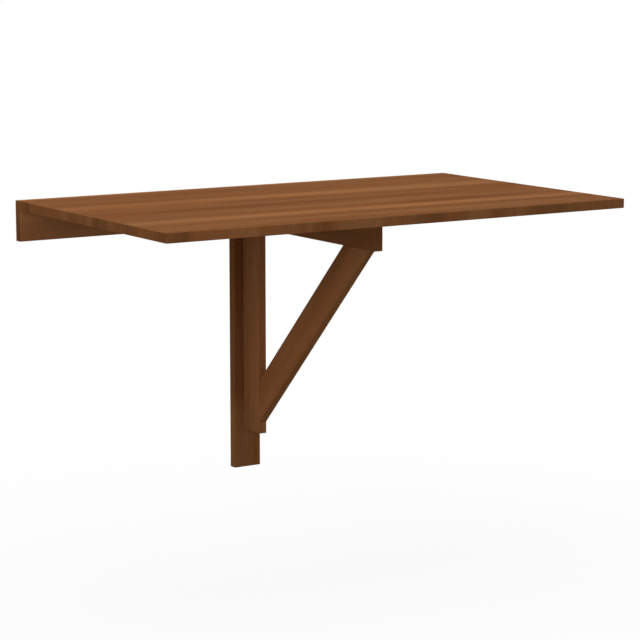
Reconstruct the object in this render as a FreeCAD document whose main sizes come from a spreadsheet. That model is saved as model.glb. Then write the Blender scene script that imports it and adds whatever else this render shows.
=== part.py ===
import FreeCAD, Part

import math
import os
import re

import Sketcher
from FreeCAD import Rotation, Vector

# Wall mounted drop leaf table.
# +X runs along the wall, +Y points into the wall and +Z is up. The wall is the plane Y = 0,
# and the origin is the middle of the rail's row of wall screws. Sizes are in millimetres.

SIZES = {
    # the top
    "table_width": 1000,  # along the wall
    "table_depth": 600,  # from the wall to the leaf's front edge
    "board_thickness": 18,
    "top_level": 48,  # the top surface above the wall screws
    "strip_width": 42,  # the fixed strip that the leaf hangs on
    "seam_gap": 1,  # between the strip and the leaf
    "seam_chamfer": 3,  # under both edges of the seam, so that the leaf can turn down
    "corner_round": 3,  # the leaf's two front corners, seen from above
    "edge_round": 1,  # the small round on the boards' edges
    # the wall frame
    "rail_height": 78,
    "post_width": 60,
    "post_length": 500,
    "rail_screw_inset": 140,  # from the rail's ends
    "post_screw_drop": 60,  # from the post's top to its first wall screw
    "post_screw_pitch": 310,
    "wall_screw_radius": 2.5,
    "wall_screw_head_radius": 5,
    # the gate bracket
    "bracket_reach": 480,  # from the post's face to the arm's front end
    "bracket_drop": 480,  # from the leaf's underside to the upright's foot
    "post_gap": 0.5,  # between the post and the upright's back
    "upright_width": 60,
    "arm_height": 58,
    "brace_width": 60,
    "brace_leg": 312,  # the two equal sides of the bracket's open triangle
    "pad_thickness": 2,
    "pad_length": 60,
    "pad_width": 14,
    "pad_inset": 8,  # from the arm's front end
    # the dowels
    "dowel_radius": 4,
    "dowel_length": 32,
    "strip_dowel_inset": 50,  # from the strip's ends
    "strip_dowel_depth": 12,  # how far they go into the rail
    "post_dowel_pitch": 36,
    "arm_dowel_pitch": 28,
    "brace_dowel_pitch": 40,
    # the hinges
    "pin_radius": 1.5,
    "pin_play": 0.05,  # radial, in the knuckles that turn
    "knuckle_radius": 3,
    "plate_thickness": 1.5,
    "knuckle_gap": 0.3,  # between neighbouring knuckles, and round them
    "groove_play": 0.5,  # round the knuckles, in the wood
    "leaf_hinge_length": 70,
    "leaf_hinge_reach": 22,  # from the pin to the plate's edge
    "leaf_hinge_inset": 140,  # from the top's ends to the outer hinges' middles
    "leaf_screw_reach": 14,  # from the pin to the screws
    "leaf_screw_pitch": 44,
    "gate_hinge_length": 60,
    "gate_hinge_reach": 17,
    "gate_hinge_drop": 130,  # from the top surface to the upper hinge's middle
    "gate_hinge_pitch": 300,
    "gate_screw_reach": 10.5,
    "gate_screw_pitch": 36,
    # the hinge screws
    "screw_radius": 1.5,
    "screw_length": 12,
    "screw_head_radius": 2.8,
    "screw_head_height": 1.3,
    "screw_tip": 3,
    "recess_width": 0.7,
    "recess_length": 3.2,
    "recess_depth": 0.8,
}

RAIL_SCREWS = 4
POST_SCREWS = 2
STRIP_DOWELS = 6

# Formulas of places that several pieces share.
PLACES = {
    "under_top": "top_level - board_thickness",
    "rail_foot": "top_level - rail_height",
    "post_foot": "rail_foot - post_length",
    "strip_front": "-board_thickness - strip_width",
    "leaf_back": "strip_front - seam_gap",
    "upright_back": "-board_thickness - post_gap",
    "upright_front": "upright_back - upright_width",
    "upright_foot": "under_top - bracket_drop",
    "arm_front": "-board_thickness - bracket_reach",
    "arm_top": "under_top - pad_thickness",
    "arm_foot": "arm_top - arm_height",
    "brace_cut": "brace_width / cos(45 deg)",  # the brace's length across each joint
    "brace_joint_y": "upright_front - brace_leg - brace_cut / 2",
    "brace_joint_z": "arm_foot - brace_leg - brace_cut / 2",
    "leaf_pin_y": "strip_front - seam_gap / 2",
    "leaf_pin_z": "under_top + knuckle_radius",
    "gate_pin_x": "board_thickness / 2 + knuckle_radius",
    "gate_pin_y": "-board_thickness - knuckle_radius",
    "gate_pin_z": "top_level - gate_hinge_drop",
    "knuckle_clear": "knuckle_radius + knuckle_gap",
    "rail_screw_pitch": f"(table_width - 2 * rail_screw_inset) / {RAIL_SCREWS - 1}",
    "strip_dowel_pitch": f"(table_width - 2 * strip_dowel_inset) / {STRIP_DOWELS - 1}",
    "leaf_hinge_pitch": "table_width / 2 - leaf_hinge_inset",
}

X, Y, Z = Vector(1, 0, 0), Vector(0, 1, 0), Vector(0, 0, 1)
UPRIGHT = Rotation()
UP_TO_BACKWARD = Rotation(X, 90)  # +Z turned to -Y, and -Z to +Y
UP_TO_SIDE = Rotation(Y, 90)  # +Z turned to +X, and -Z to -X
UP_TO_DOWN = Rotation(X, 180)  # +Z turned to -Z
ENDS = (-1, 1)

# A hinge has five knuckles. The plate that stays has three of them and holds the pin.
KNUCKLES = 5
STAYING_KNUCKLES = (0, 2, 4)
TURNING_KNUCKLES = (1, 3)
LEAF_HINGES = {"left": -1, "middle": 0, "right": 1}
GATE_HINGES = {"upper": 0, "lower": 1}
# How a plate, made with its pin along Z and reaching to +X, is turned to its place.
TURNS = {
    "strip_plate": Rotation(Y, Z, X),
    "leaf_plate": Rotation(-Y, Z, -X),
    "post_plate": Rotation(X, -Y, -Z),
    "bracket_plate": Rotation(-Y, X, Z),
}

doc = FreeCAD.newDocument("DropLeafTable")
sheet = doc.addObject("Spreadsheet::Sheet", "Sizes")
for row, (alias, value) in enumerate(SIZES.items(), start=1):
    sheet.set(f"A{row}", alias)
    sheet.set(f"B{row}", str(value))
    sheet.setAlias(f"B{row}", alias)
doc.recompute()


# ---------------------------------------------------------------- expressions and places


def formula(text):
    """An expression in which the places are spelled out and the sizes are read from the sheet."""

    def meaning(match):
        word = match[0]
        return f"({formula(PLACES[word])})" if word in PLACES else f"Sizes.{word}"

    return re.sub(r"[a-z]+(_[a-z]+)+", meaning, str(text))


def bind(thing, **properties):
    """Bind properties of an object to formulas of sizes."""
    for name, text in properties.items():
        thing.setExpression(name, formula(text))


def place(thing, x=0, y=0, z=0, turn=UPRIGHT):
    """Turn an object and put it at (x, y, z), each of them a formula."""
    thing.Placement.Rotation = turn
    for axis, text in zip("xyz", (x, y, z)):
        thing.setExpression(f"Placement.Base.{axis}", formula(text))
    return thing


# ---------------------------------------------------------------- primitives and booleans


def box(name, size, corner):
    """A block with its lowest corner at corner."""
    block = doc.addObject("Part::Box", name)
    bind(block, Length=size[0], Width=size[1], Height=size[2])
    return place(block, *corner)


def cylinder(name, radius, height, start=(0, 0, 0), turn=UPRIGHT):
    """A cylinder that runs up from start, or another way after turn."""
    rod = doc.addObject("Part::Cylinder", name)
    bind(rod, Radius=radius, Height=height)
    return place(rod, *start, turn)


def cone(name, low_radius, high_radius, height, start=(0, 0, 0), turn=UPRIGHT):
    """A cone that runs up from start, or another way after turn."""
    taper = doc.addObject("Part::Cone", name)
    bind(taper, Radius1=low_radius, Radius2=high_radius, Height=height)
    return place(taper, *start, turn)


def fuse(name, pieces):
    """Several shapes made one."""
    whole = doc.addObject("Part::MultiFuse", name)
    whole.Shapes = pieces
    whole.Refine = True
    return whole


def gather(name, pieces):
    """Several solids kept apart in one object."""
    group = doc.addObject("Part::Compound", name)
    group.Links = pieces
    return group


def cut(name, base, tools):
    """Take the tools away from the base."""
    rest = doc.addObject("Part::Cut", name)
    rest.Base = base
    rest.Tool = tools[0] if len(tools) == 1 else gather(f"{name}_tools", tools)
    return rest


def copies(name, master, spots):
    """Linked copies of a master at each (x, y, z, turn) spot, as one group."""
    links = []
    for count, spot in enumerate(spots):
        link = doc.addObject("App::Link", f"{name}_copy_{count}")
        link.LinkedObject = master
        link.LinkTransform = True
        links.append(place(link, *spot))
    return gather(name, links)


def row_of(count):
    """Steps of 1, centred on 0, such as -1.5, -0.5, 0.5 and 1.5 for four."""
    return [step - (count - 1) / 2 for step in range(count)]


# ---------------------------------------------------------------- boards


def outlined_body(name, plane, points):
    """A body with a closed outline on one of its origin planes.

    points lists the corners as (across, up) formulas. The sketch starts as a circle's polygon,
    and its constraints then bring each corner to its place.
    """
    body = doc.addObject("PartDesign::Body", name)
    sketch = body.newObject("Sketcher::SketchObject", f"{name}_outline")
    planes = {feature.Role: feature for feature in body.Origin.OriginFeatures}
    sketch.AttachmentSupport = (planes[plane], "")
    sketch.MapMode = "FlatFace"
    circle = Part.Circle()
    corners = [circle.value(math.tau * line / len(points)) for line in range(len(points))]
    for here, there in zip(corners, corners[1:] + corners[:1]):
        sketch.addGeometry(Part.LineSegment(here, there), False)
    for line in range(len(points)):
        after = (line + 1) % len(points)
        sketch.addConstraint(Sketcher.Constraint("Coincident", line, 2, after, 1))
    for line, (point, corner) in enumerate(zip(points, corners)):
        for kind, text, value in zip(("DistanceX", "DistanceY"), point, corner):
            spot = sketch.addConstraint(Sketcher.Constraint(kind, -1, 1, line, 1, value))
            label = f"{kind.lower()}_{line}"
            sketch.renameConstraint(spot, label)
            sketch.setExpression(f"Constraints.{label}", formula(text))
    return body, sketch


def rectangle(across_low, across_high, up_low, up_high):
    """The corners of an upright rectangle."""
    return [
        (across_low, up_low),
        (across_high, up_low),
        (across_high, up_high),
        (across_low, up_high),
    ]


def pad(body, sketch, length, both_ways=False):
    """Give an outline its thickness."""
    feature = body.newObject("PartDesign::Pad", f"{body.Name}_pad")
    feature.Profile = sketch
    feature.Midplane = both_ways
    bind(feature, Length=length)
    doc.recompute()
    return feature


def round_edges(body, base, radius, wanted):
    """Round those edges of a feature for which wanted(edge, sides) holds.

    sides holds the names of the sides of the feature's bounding box that the edge lies in.
    """
    names = [
        f"Edge{count}"
        for count, edge in enumerate(base.Shape.Edges, start=1)
        if wanted(edge, sides_of(edge, base.Shape.BoundBox))
    ]
    feature = body.newObject("PartDesign::Fillet", f"{body.Name}_round_{len(names)}")
    feature.Base = (base, names)
    bind(feature, Radius=radius)
    doc.recompute()
    return feature


def sides_of(edge, bounds):
    """The sides of a bounding box that an edge lies in, named by the way they face."""
    middle = edge.CenterOfMass
    gaps = {
        "back": bounds.YMax - middle.y,
        "front": middle.y - bounds.YMin,
        "top": bounds.ZMax - middle.z,
        "bottom": middle.z - bounds.ZMin,
    }
    return {side for side, gap in gaps.items() if gap < 0.001}


def runs_along(edge, axis):
    """Whether an edge is straight and runs along an axis."""
    run = edge.Vertexes[-1].Point - edge.Vertexes[0].Point
    return abs(run.normalize().dot(axis)) > 0.999


def wall_rail(tools):
    """The board along the wall that carries the strip and the post."""
    outline = rectangle("-table_width / 2", "table_width / 2", "rail_foot", "top_level")
    body, sketch = outlined_body("rail_board", "XZ_Plane", outline)
    board = pad(body, sketch, "board_thickness")

    def eased(edge, sides):
        return "front" in sides and (runs_along(edge, Z) or "bottom" in sides)

    round_edges(body, board, "edge_round", eased)
    return cut("wall_rail", body, tools)


def wall_post(tools):
    """The board on the wall that the bracket hangs on."""
    outline = rectangle("-post_width / 2", "post_width / 2", "post_foot", "rail_foot")
    body, sketch = outlined_body("post_board", "XZ_Plane", outline)
    board = pad(body, sketch, "board_thickness")

    def eased(edge, sides):
        return "front" in sides and "top" not in sides

    round_edges(body, board, "edge_round", eased)
    return cut("wall_post", body, tools)


def hinge_strip(tools):
    """The fixed strip of the top, in front of the rail."""
    outline = [
        ("strip_front", "top_level"),
        ("strip_front", "under_top + seam_chamfer"),
        ("strip_front + seam_chamfer", "under_top"),
        ("-board_thickness", "under_top"),
        ("-board_thickness", "top_level"),
    ]
    body, sketch = outlined_body("strip_board", "YZ_Plane", outline)
    pad(body, sketch, "table_width", both_ways=True)
    return cut("hinge_strip", body, tools)


def table_leaf(tools):
    """The large panel that drops, with round front corners and a softened rim."""
    outline = [
        ("-table_depth", "top_level"),
        ("-table_depth", "under_top"),
        ("leaf_back - seam_chamfer", "under_top"),
        ("leaf_back", "under_top + seam_chamfer"),
        ("leaf_back", "top_level"),
    ]
    body, sketch = outlined_body("leaf_board", "YZ_Plane", outline)
    panel = pad(body, sketch, "table_width", both_ways=True)

    def front_corner(edge, sides):
        return "front" in sides and runs_along(edge, Z)

    def rim(edge, sides):
        at_seam = runs_along(edge, X) and "front" not in sides
        return bool(sides & {"top", "bottom"}) and not at_seam

    cornered = round_edges(body, panel, "corner_round", front_corner)
    round_edges(body, cornered, "edge_round", rim)
    return cut("table_leaf", body, tools)


def bracket_board(name, outline, joints, tools):
    """One board of the bracket, centred on X = 0, with the edges of its broad faces rounded.

    joints names the sides that lie against the other boards, where the edges stay sharp.
    """
    body, sketch = outlined_body(f"{name}_board", "YZ_Plane", outline)
    board = pad(body, sketch, "board_thickness", both_ways=True)

    def eased(edge, sides):
        return not runs_along(edge, X) and not sides & joints

    round_edges(body, board, "edge_round", eased)
    return cut(f"bracket_{name}", body, tools)


def bracket_upright(tools):
    """The bracket's back board, which carries its hinges."""
    outline = rectangle("upright_front", "upright_back", "upright_foot", "arm_top")
    return bracket_board("upright", outline, set(), tools)


def bracket_arm(tools):
    """The bracket's level board, which carries the leaf."""
    outline = rectangle("arm_front", "upright_front", "arm_foot", "arm_top")
    return bracket_board("arm", outline, {"back"}, tools)


def bracket_brace(tools):
    """The bracket's diagonal board, cut at 45 degrees at both ends."""
    outline = [
        ("upright_front", "arm_foot - brace_leg"),
        ("upright_front", "arm_foot - brace_leg - brace_cut"),
        ("upright_front - brace_leg - brace_cut", "arm_foot"),
        ("upright_front - brace_leg", "arm_foot"),
    ]
    return bracket_board("brace", outline, {"back", "top"}, tools)


def arm_pad():
    """The felt pad on the arm that the leaf rests on."""
    return box(
        "arm_pad",
        ("pad_width", "pad_length", "pad_thickness"),
        ("-pad_width / 2", "arm_front + pad_inset", "arm_top"),
    )


# ---------------------------------------------------------------- fasteners


def hinge_screw():
    """A countersunk screw with its head's face at Z = 0 and its tip pointing down."""
    head = cone(
        "screw_head",
        "screw_radius",
        "screw_head_radius",
        "screw_head_height",
        (0, 0, "-screw_head_height"),
    )
    shank = cylinder(
        "screw_shank",
        "screw_radius",
        "screw_length - screw_tip - screw_head_height",
        (0, 0, "screw_tip - screw_length"),
    )
    tip = cone("screw_tip_cone", 0, "screw_radius", "screw_tip", (0, 0, "-screw_length"))
    sides = {
        "recess_across": ("recess_length", "recess_width"),
        "recess_along": ("recess_width", "recess_length"),
    }
    slots = [
        box(name, (wide, deep, "recess_depth"), (f"-{wide} / 2", f"-{deep} / 2", "-recess_depth"))
        for name, (wide, deep) in sides.items()
    ]
    return cut("hinge_screw", fuse("screw_blank", [head, shank, tip]), slots)


def screw_hole():
    """The room that a hinge screw takes in plate and wood."""
    head = cone(
        "screw_sink",
        "screw_radius",
        "screw_head_radius",
        "screw_head_height",
        (0, 0, "-screw_head_height"),
    )
    pilot = cylinder("screw_pilot", "screw_radius", "screw_length", (0, 0, "-screw_length"))
    return fuse("screw_hole", [head, pilot])


def wall_screw_hole():
    """A countersunk hole through a board, from its front face to the wall."""
    sink_depth = "wall_screw_head_radius - wall_screw_radius"
    shaft = cylinder(
        "wall_hole_shaft", "wall_screw_radius", "board_thickness", turn=UP_TO_BACKWARD
    )
    sink = cone(
        "wall_hole_sink",
        "wall_screw_radius",
        "wall_screw_head_radius",
        sink_depth,
        (0, f"{sink_depth} - board_thickness", 0),
        UP_TO_BACKWARD,
    )
    return fuse("wall_screw_hole", [shaft, sink])


# ---------------------------------------------------------------- hinges


def hinge_plate(name, kind, knuckles, bore_radius, screw_face, screw_turn, spot):
    """One plate of a hinge, with its knuckles and its two countersunk screw holes.

    It is made with its pin along Z through the origin, reaching to +X, with its outer face
    at Y = -knuckle_radius, and is then put at spot. Its flat part stops short of the other
    plate's knuckles, and links join it to its own.
    """
    length, reach = f"{kind}_hinge_length", f"{kind}_hinge_reach"
    tall = f"{length} / {KNUCKLES} - knuckle_gap"
    flat = box(
        f"{name}_flat",
        (f"{reach} - knuckle_clear", "plate_thickness", length),
        ("knuckle_clear", "-knuckle_radius", f"-{length} / 2"),
    )
    pieces = [flat]
    for knuckle in knuckles:
        low = f"{length} * {knuckle / KNUCKLES - 0.5:.1f} + knuckle_gap / 2"
        link_size = ("knuckle_clear", "plate_thickness", tall)
        pieces += [
            cylinder(f"{name}_knuckle_{knuckle}", "knuckle_radius", tall, (0, 0, low)),
            box(f"{name}_link_{knuckle}", link_size, (0, "-knuckle_radius", low)),
        ]
    bore = cylinder(f"{name}_bore", bore_radius, length, (0, 0, f"-{length} / 2"))
    across = f"{kind}_screw_pitch"
    holes = copies(
        f"{name}_holes",
        SCREW_HOLE,
        [(f"{kind}_screw_reach", screw_face, f"{end} * {across} / 2", screw_turn) for end in ENDS],
    )
    plate = cut(name, fuse(f"{name}_blank", pieces), [bore, holes])
    return place(plate, *spot)


def hinge(name, kind, staying, turning, pin_spot, screw_face, screw_turn):
    """A hinge's two plates and its pin, with the pin's middle at pin_spot."""
    length = f"{kind}_hinge_length"
    pin = cylinder(f"{name}_pin_rod", "pin_radius", length, (0, 0, f"-{length} / 2"))
    sides = (
        (staying, STAYING_KNUCKLES, "pin_radius"),
        (turning, TURNING_KNUCKLES, "pin_radius + pin_play"),
    )
    pieces = [
        hinge_plate(
            f"{name}_{plate}",
            kind,
            knuckles,
            bore,
            screw_face,
            screw_turn,
            (*pin_spot, TURNS[plate]),
        )
        for plate, knuckles, bore in sides
    ]
    return [*pieces, copies(f"{name}_pin", pin, [(*pin_spot, TURNS[staying])])]


def leaf_hinges():
    """The three drop leaf hinges, with their knuckles let into the wood."""
    pieces = []
    for side, step in LEAF_HINGES.items():
        spot = (f"{step} * leaf_hinge_pitch", "leaf_pin_y", "leaf_pin_z")
        pieces += hinge(
            f"leaf_hinge_{side}",
            "leaf",
            "strip_plate",
            "leaf_plate",
            spot,
            "-knuckle_radius",
            UP_TO_BACKWARD,
        )
    return pieces


def gate_hinges():
    """The two butt hinges between the post and the bracket."""
    pieces = []
    for level, step in GATE_HINGES.items():
        spot = ("gate_pin_x", "gate_pin_y", f"gate_pin_z - {step} * gate_hinge_pitch")
        pieces += hinge(
            f"gate_hinge_{level}",
            "gate",
            "post_plate",
            "bracket_plate",
            spot,
            "plate_thickness - knuckle_radius",
            Rotation(X, -90),
        )
    return pieces


def leaf_hinge_mortise():
    """The room in the wood for a drop leaf hinge's plates and knuckles, across the seam."""
    length = "leaf_hinge_length"
    plates = box(
        "mortise_plates",
        (length, "2 * leaf_hinge_reach", "plate_thickness"),
        (f"-{length} / 2", "-leaf_hinge_reach", "-knuckle_radius"),
    )
    groove = cylinder(
        "mortise_groove",
        "knuckle_radius + groove_play",
        length,
        (f"-{length} / 2", 0, 0),
        UP_TO_SIDE,
    )
    return fuse("leaf_hinge_mortise", [plates, groove])


# ---------------------------------------------------------------- the table

DOWEL = cylinder("dowel", "dowel_radius", "dowel_length", (0, 0, "-dowel_length / 2"))
SCREW = hinge_screw()
SCREW_HOLE = screw_hole()
WALL_HOLE = wall_screw_hole()

leaf_hinge_ends = [
    f"{step} * leaf_hinge_pitch + {end} * leaf_screw_pitch / 2"
    for step in LEAF_HINGES.values()
    for end in ENDS
]
gate_hinge_ends = [
    f"gate_pin_z - {step} * gate_hinge_pitch + {end} * gate_screw_pitch / 2"
    for step in GATE_HINGES.values()
    for end in ENDS
]
SCREW_SPOTS = {
    "strip_hinge_screws": [
        (across, "leaf_pin_y + leaf_screw_reach", "under_top", UP_TO_DOWN)
        for across in leaf_hinge_ends
    ],
    "leaf_hinge_screws": [
        (across, "leaf_pin_y - leaf_screw_reach", "under_top", UP_TO_DOWN)
        for across in leaf_hinge_ends
    ],
    "post_hinge_screws": [
        (
            "gate_pin_x + gate_screw_reach",
            "-board_thickness - plate_thickness",
            level,
            UP_TO_BACKWARD,
        )
        for level in gate_hinge_ends
    ],
    "bracket_hinge_screws": [
        (
            "board_thickness / 2 + plate_thickness",
            "gate_pin_y - gate_screw_reach",
            level,
            UP_TO_SIDE,
        )
        for level in gate_hinge_ends
    ],
}
screws = {name: copies(name, SCREW, spots) for name, spots in SCREW_SPOTS.items()}
pilots = {
    name: copies(f"{name}_pilots", SCREW_HOLE, spots) for name, spots in SCREW_SPOTS.items()
}

DOWEL_SPOTS = {
    "rail_strip_dowels": [
        (
            f"{step} * strip_dowel_pitch",
            "strip_dowel_depth - board_thickness - dowel_length / 2",
            "top_level - board_thickness / 2",
            UP_TO_BACKWARD,
        )
        for step in row_of(STRIP_DOWELS)
    ],
    "rail_post_dowels": [
        (f"{step} * post_dowel_pitch", "-board_thickness / 2", "rail_foot", UPRIGHT)
        for step in row_of(2)
    ],
    "upright_arm_dowels": [
        (
            0,
            "upright_front",
            f"arm_foot + arm_height / 2 + {step} * arm_dowel_pitch",
            UP_TO_BACKWARD,
        )
        for step in row_of(2)
    ],
    "arm_brace_dowels": [
        (0, f"brace_joint_y + {step} * brace_dowel_pitch", "arm_foot", UPRIGHT)
        for step in row_of(2)
    ],
    "upright_brace_dowels": [
        (0, "upright_front", f"brace_joint_z + {step} * brace_dowel_pitch", UP_TO_BACKWARD)
        for step in row_of(2)
    ],
}
dowels = {name: copies(name, DOWEL, spots) for name, spots in DOWEL_SPOTS.items()}

mortises = copies(
    "leaf_hinge_mortises",
    leaf_hinge_mortise(),
    [
        (f"{step} * leaf_hinge_pitch", "leaf_pin_y", "leaf_pin_z", UPRIGHT)
        for step in LEAF_HINGES.values()
    ],
)
rail_wall_holes = copies(
    "rail_wall_holes",
    WALL_HOLE,
    [(f"{step} * rail_screw_pitch", 0, 0, UPRIGHT) for step in row_of(RAIL_SCREWS)],
)
post_wall_holes = copies(
    "post_wall_holes",
    WALL_HOLE,
    [
        (0, 0, f"rail_foot - post_screw_drop - {step} * post_screw_pitch", UPRIGHT)
        for step in range(POST_SCREWS)
    ],
)

nodes = [
    wall_rail([rail_wall_holes, dowels["rail_strip_dowels"], dowels["rail_post_dowels"]]),
    wall_post([post_wall_holes, dowels["rail_post_dowels"], pilots["post_hinge_screws"]]),
    hinge_strip([mortises, dowels["rail_strip_dowels"], pilots["strip_hinge_screws"]]),
    table_leaf([mortises, pilots["leaf_hinge_screws"]]),
    bracket_upright(
        [
            dowels["upright_arm_dowels"],
            dowels["upright_brace_dowels"],
            pilots["bracket_hinge_screws"],
        ]
    ),
    bracket_arm([dowels["upright_arm_dowels"], dowels["arm_brace_dowels"]]),
    bracket_brace([dowels["arm_brace_dowels"], dowels["upright_brace_dowels"]]),
    arm_pad(),
    *leaf_hinges(),
    *gate_hinges(),
    *screws.values(),
    *dowels.values(),
]
doc.recompute()

for thing in doc.Objects:
    if "Invalid" in thing.State or "Error" in thing.State:
        raise RuntimeError(f"{thing.Label} failed to build: {thing.State}")
os.makedirs("parts", exist_ok=True)
for node in nodes:
    shape = node.Shape
    if shape.isNull() or not shape.isValid() or not shape.Solids:
        raise RuntimeError(f"{node.Label} has no valid solid")
    shape.exportStep(f"parts/{node.Label}.step")
    print(f"{node.Label}: {len(shape.Solids)} solid(s), {shape.Volume / 1000:.2f} cm3")
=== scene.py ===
"""Dresses a wall mounted drop leaf table in oiled walnut, beech, steel and felt.

The table's frame is loaded first. Each operator then dresses one piece or one group of like
pieces, and the last one sets up the stage. The settings in the sidebar's Table tab hold the main
sizes and colours.
All positions are in metres in the table's own frame: +X along the wall, +Y into the wall, +Z up.
"""

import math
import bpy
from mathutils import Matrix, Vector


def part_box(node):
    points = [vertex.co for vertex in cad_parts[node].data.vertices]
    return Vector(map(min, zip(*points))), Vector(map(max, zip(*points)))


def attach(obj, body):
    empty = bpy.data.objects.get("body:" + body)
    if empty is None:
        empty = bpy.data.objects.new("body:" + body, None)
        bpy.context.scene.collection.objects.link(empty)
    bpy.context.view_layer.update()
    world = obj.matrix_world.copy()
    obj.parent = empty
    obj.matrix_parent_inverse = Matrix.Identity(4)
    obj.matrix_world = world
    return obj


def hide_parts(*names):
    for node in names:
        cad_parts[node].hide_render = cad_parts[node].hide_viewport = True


bl_info = {
    "name": "Drop Leaf Table Finish",
    "version": (1, 0, 0),
    "blender": (4, 5, 0),
    "location": "3D Viewport > Sidebar > Table",
    "description": "Wood, steel and felt finishes and a plain stage for a drop leaf table",
    "category": "Object",
}

import bpy
import numpy as np
from bpy.props import (
    FloatProperty,
    FloatVectorProperty,
    IntProperty,
    PointerProperty,
)
from mathutils import Euler

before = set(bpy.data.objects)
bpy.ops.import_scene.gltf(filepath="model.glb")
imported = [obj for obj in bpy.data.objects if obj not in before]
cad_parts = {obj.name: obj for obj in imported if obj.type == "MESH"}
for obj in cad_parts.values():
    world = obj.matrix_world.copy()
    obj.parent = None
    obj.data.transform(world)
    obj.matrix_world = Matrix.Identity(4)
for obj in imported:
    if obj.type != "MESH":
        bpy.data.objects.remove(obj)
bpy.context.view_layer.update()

# A quarter and an eighth of a full turn.
QUARTER = math.pi / 2
EIGHTH = math.pi / 4
# How near a board's end a place must be to count as on its end face.
END_REACH = 0.0003

# How each board is turned so that X runs along its grain, Y across its broad face and Z through it.
GRAIN_TURNS = {
    "table_leaf": (0, 0, 0),
    "hinge_strip": (0, 0, 0),
    "wall_rail": (QUARTER, 0, 0),
    "wall_post": (QUARTER, 0, QUARTER),
    "bracket_upright": (0, QUARTER, 0),
    "bracket_arm": (-QUARTER, QUARTER, 0),
    "bracket_brace": (-EIGHTH, QUARTER, 0),
}
# The same for the narrow faces of the top, whose band has upright grain.
FRONT_BAND_TURN = (QUARTER, 0, QUARTER)
END_BAND_TURN = (0, QUARTER, 0)
# How much lighter each board's faces are than the wood's usual tone, from -0.5 to 0.5. This is
# partly painted light: each board is made lighter or darker to stand in for how much light falls
# on it.
BOARD_TONES_AND_PAINTED_LIGHT = {
    "wall_rail": 0.39,
    "wall_post": -0.20,
    "bracket_upright": 0.26,
    "bracket_arm": 0.05,
    "bracket_brace": 0.22,
}
# The axis that a board's open end grain faces, as 0, 1 or 2 for X, Y or Z, and the end grain's
# tone, where it isn't that of the faces.
END_TONES = {
    "wall_rail": (0, -0.13),
    "bracket_upright": (2, 0.0),
    "bracket_arm": (1, -0.03),
}
# Painted light: the post's foot is made paler by this tone up to the lower height, and this fades
# out by the upper one.
FOOT_PAINTED_LIGHT = 0.36
FOOT_LOWER, FOOT_UPPER = -0.42, -0.37
# How strongly the wall boards' and the bracket's rings and streaks show, and how much redder than
# usual their wood is.
BOARD_FIGURE = 0.6
BOARD_REDNESS = 0.2
# How strongly the rings and streaks show on the top's broad faces and on its edge bands.
TOP_FIGURE = 0.9
BAND_FIGURE = 0.35
# How far apart in tone the light and dark blocks of the edge bands may be.
BLOCK_REACH = 1.3
# How strongly broad light and dark areas show, as a share of their setting, where it isn't 1.
BLOTCH_SHARES = {"table_leaf": 0.5, "hinge_strip": 0.5, "wall_post": 0.6}
# How far the grain sways and frays, from one side to the other.
SWAY_WIDTH = 0.030
FEATHER_WIDTH = 0.014
# How far one step of the seed moves a board's figure along the grain, across it and through it.
SEED_STEP = (1.37, 0.171, 0.093)
# What the place is scaled, turned and moved by before growth rings are drawn round its X axis.
RING_SCALE = (0.12, 1, 1)
RING_TURN = (0, 0.012, 0.02)
RING_SHIFT = (0, 0, 0.045)
# How far apart Blender's wave texture draws its rings at a scale of 1.
WAVE_PERIOD = 2 * math.pi / 20
# How much redder the warmest areas are than the others.
REDNESS_REACH = 0.8
# How strongly the pores and the worn edges colour the wood.
PORE_SHARE = 0.45
WEAR_SHARE = 0.25
# How far the streaks' roughness is above or below the wood's, and how much rougher the pores are.
STREAK_ROUGHNESS = 0.05
PORE_ROUGHNESS = 0.18
# How deep the pores are, and how high the fibres stand as a share of that.
PORE_DEPTH = 0.00006
FIBRE_SHARE = 0.35
# Where the redder areas' noise is read, away from that of the light and dark areas.
WARMTH_SHIFT = (3.1, 0.7, 0.4)
# How far the top's long streaks sway and fray, and how much is left of them where they are faintest.
TOP_SWAY_WIDTH = 0.05
TOP_FEATHER_WIDTH = 0.045
FAINTEST_STREAK = 0.55
# How strongly the beech's flecks and clouds colour it.
FLECK_SHARE = 0.6
CLOUD_SHARE = 0.25
# How strongly the dull patches and the brushed lines stain the steel, and how much smoother and
# rougher than the steel those lines may be.
STAIN_SHARE = 0.6
LINE_SHARE = 0.3
SMOOTHER_LINES = 0.06
ROUGHER_LINES = 0.1
# How much of the felt's loose fibres shows in its fine lines, and how much in its clumps.
FELT_FINE_SHARE = 0.7
FELT_CLUMP_SHARE = 0.3
# How rough the dowels, the felt and the floor are.
DOWEL_ROUGHNESS = 0.7
FELT_ROUGHNESS = 0.95
FLOOR_ROUGHNESS = 0.9
# The depth of the relief on the dowels, the steel and the felt.
DOWEL_RELIEF = 0.00005
STEEL_RELIEF = 0.00002
FELT_RELIEF = 0.0002
# How many times larger the felt pad is while it swells, and the size of its mesh's squares then.
FELT_ENLARGED = 30
FELT_VOXEL = 0.012
# How many frames it swells for.
FELT_FRAMES = 20
# The points round its outline, and the rings on each face and on each round edge.
FELT_SPOKES = 160
FELT_RINGS = 12
FELT_EDGE_RINGS = 4
# The smallest ring and the one where the face ends, as shares of the outline.
FELT_CENTRE = 0.02
FELT_FACE = 0.985
# The round edge's height, as a share of the pad's.
FELT_EDGE = 0.12
# The lamps all point at this place under the middle of the top. Each stands at its own place.
LAMP_AIM = (0, -0.3, -0.1)
TOP_LAMP_PLACE, TOP_LAMP_WIDTH = (-0.1, -0.3, 2.4), 2.3
SIDE_LAMP_PLACE, SIDE_LAMP_WIDTH = (-2.2, -2.2, 0.45), 1.6
BACK_LAMP_PLACE, BACK_LAMP_WIDTH = (2.0, 2.2, -0.5), 1.0
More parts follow.
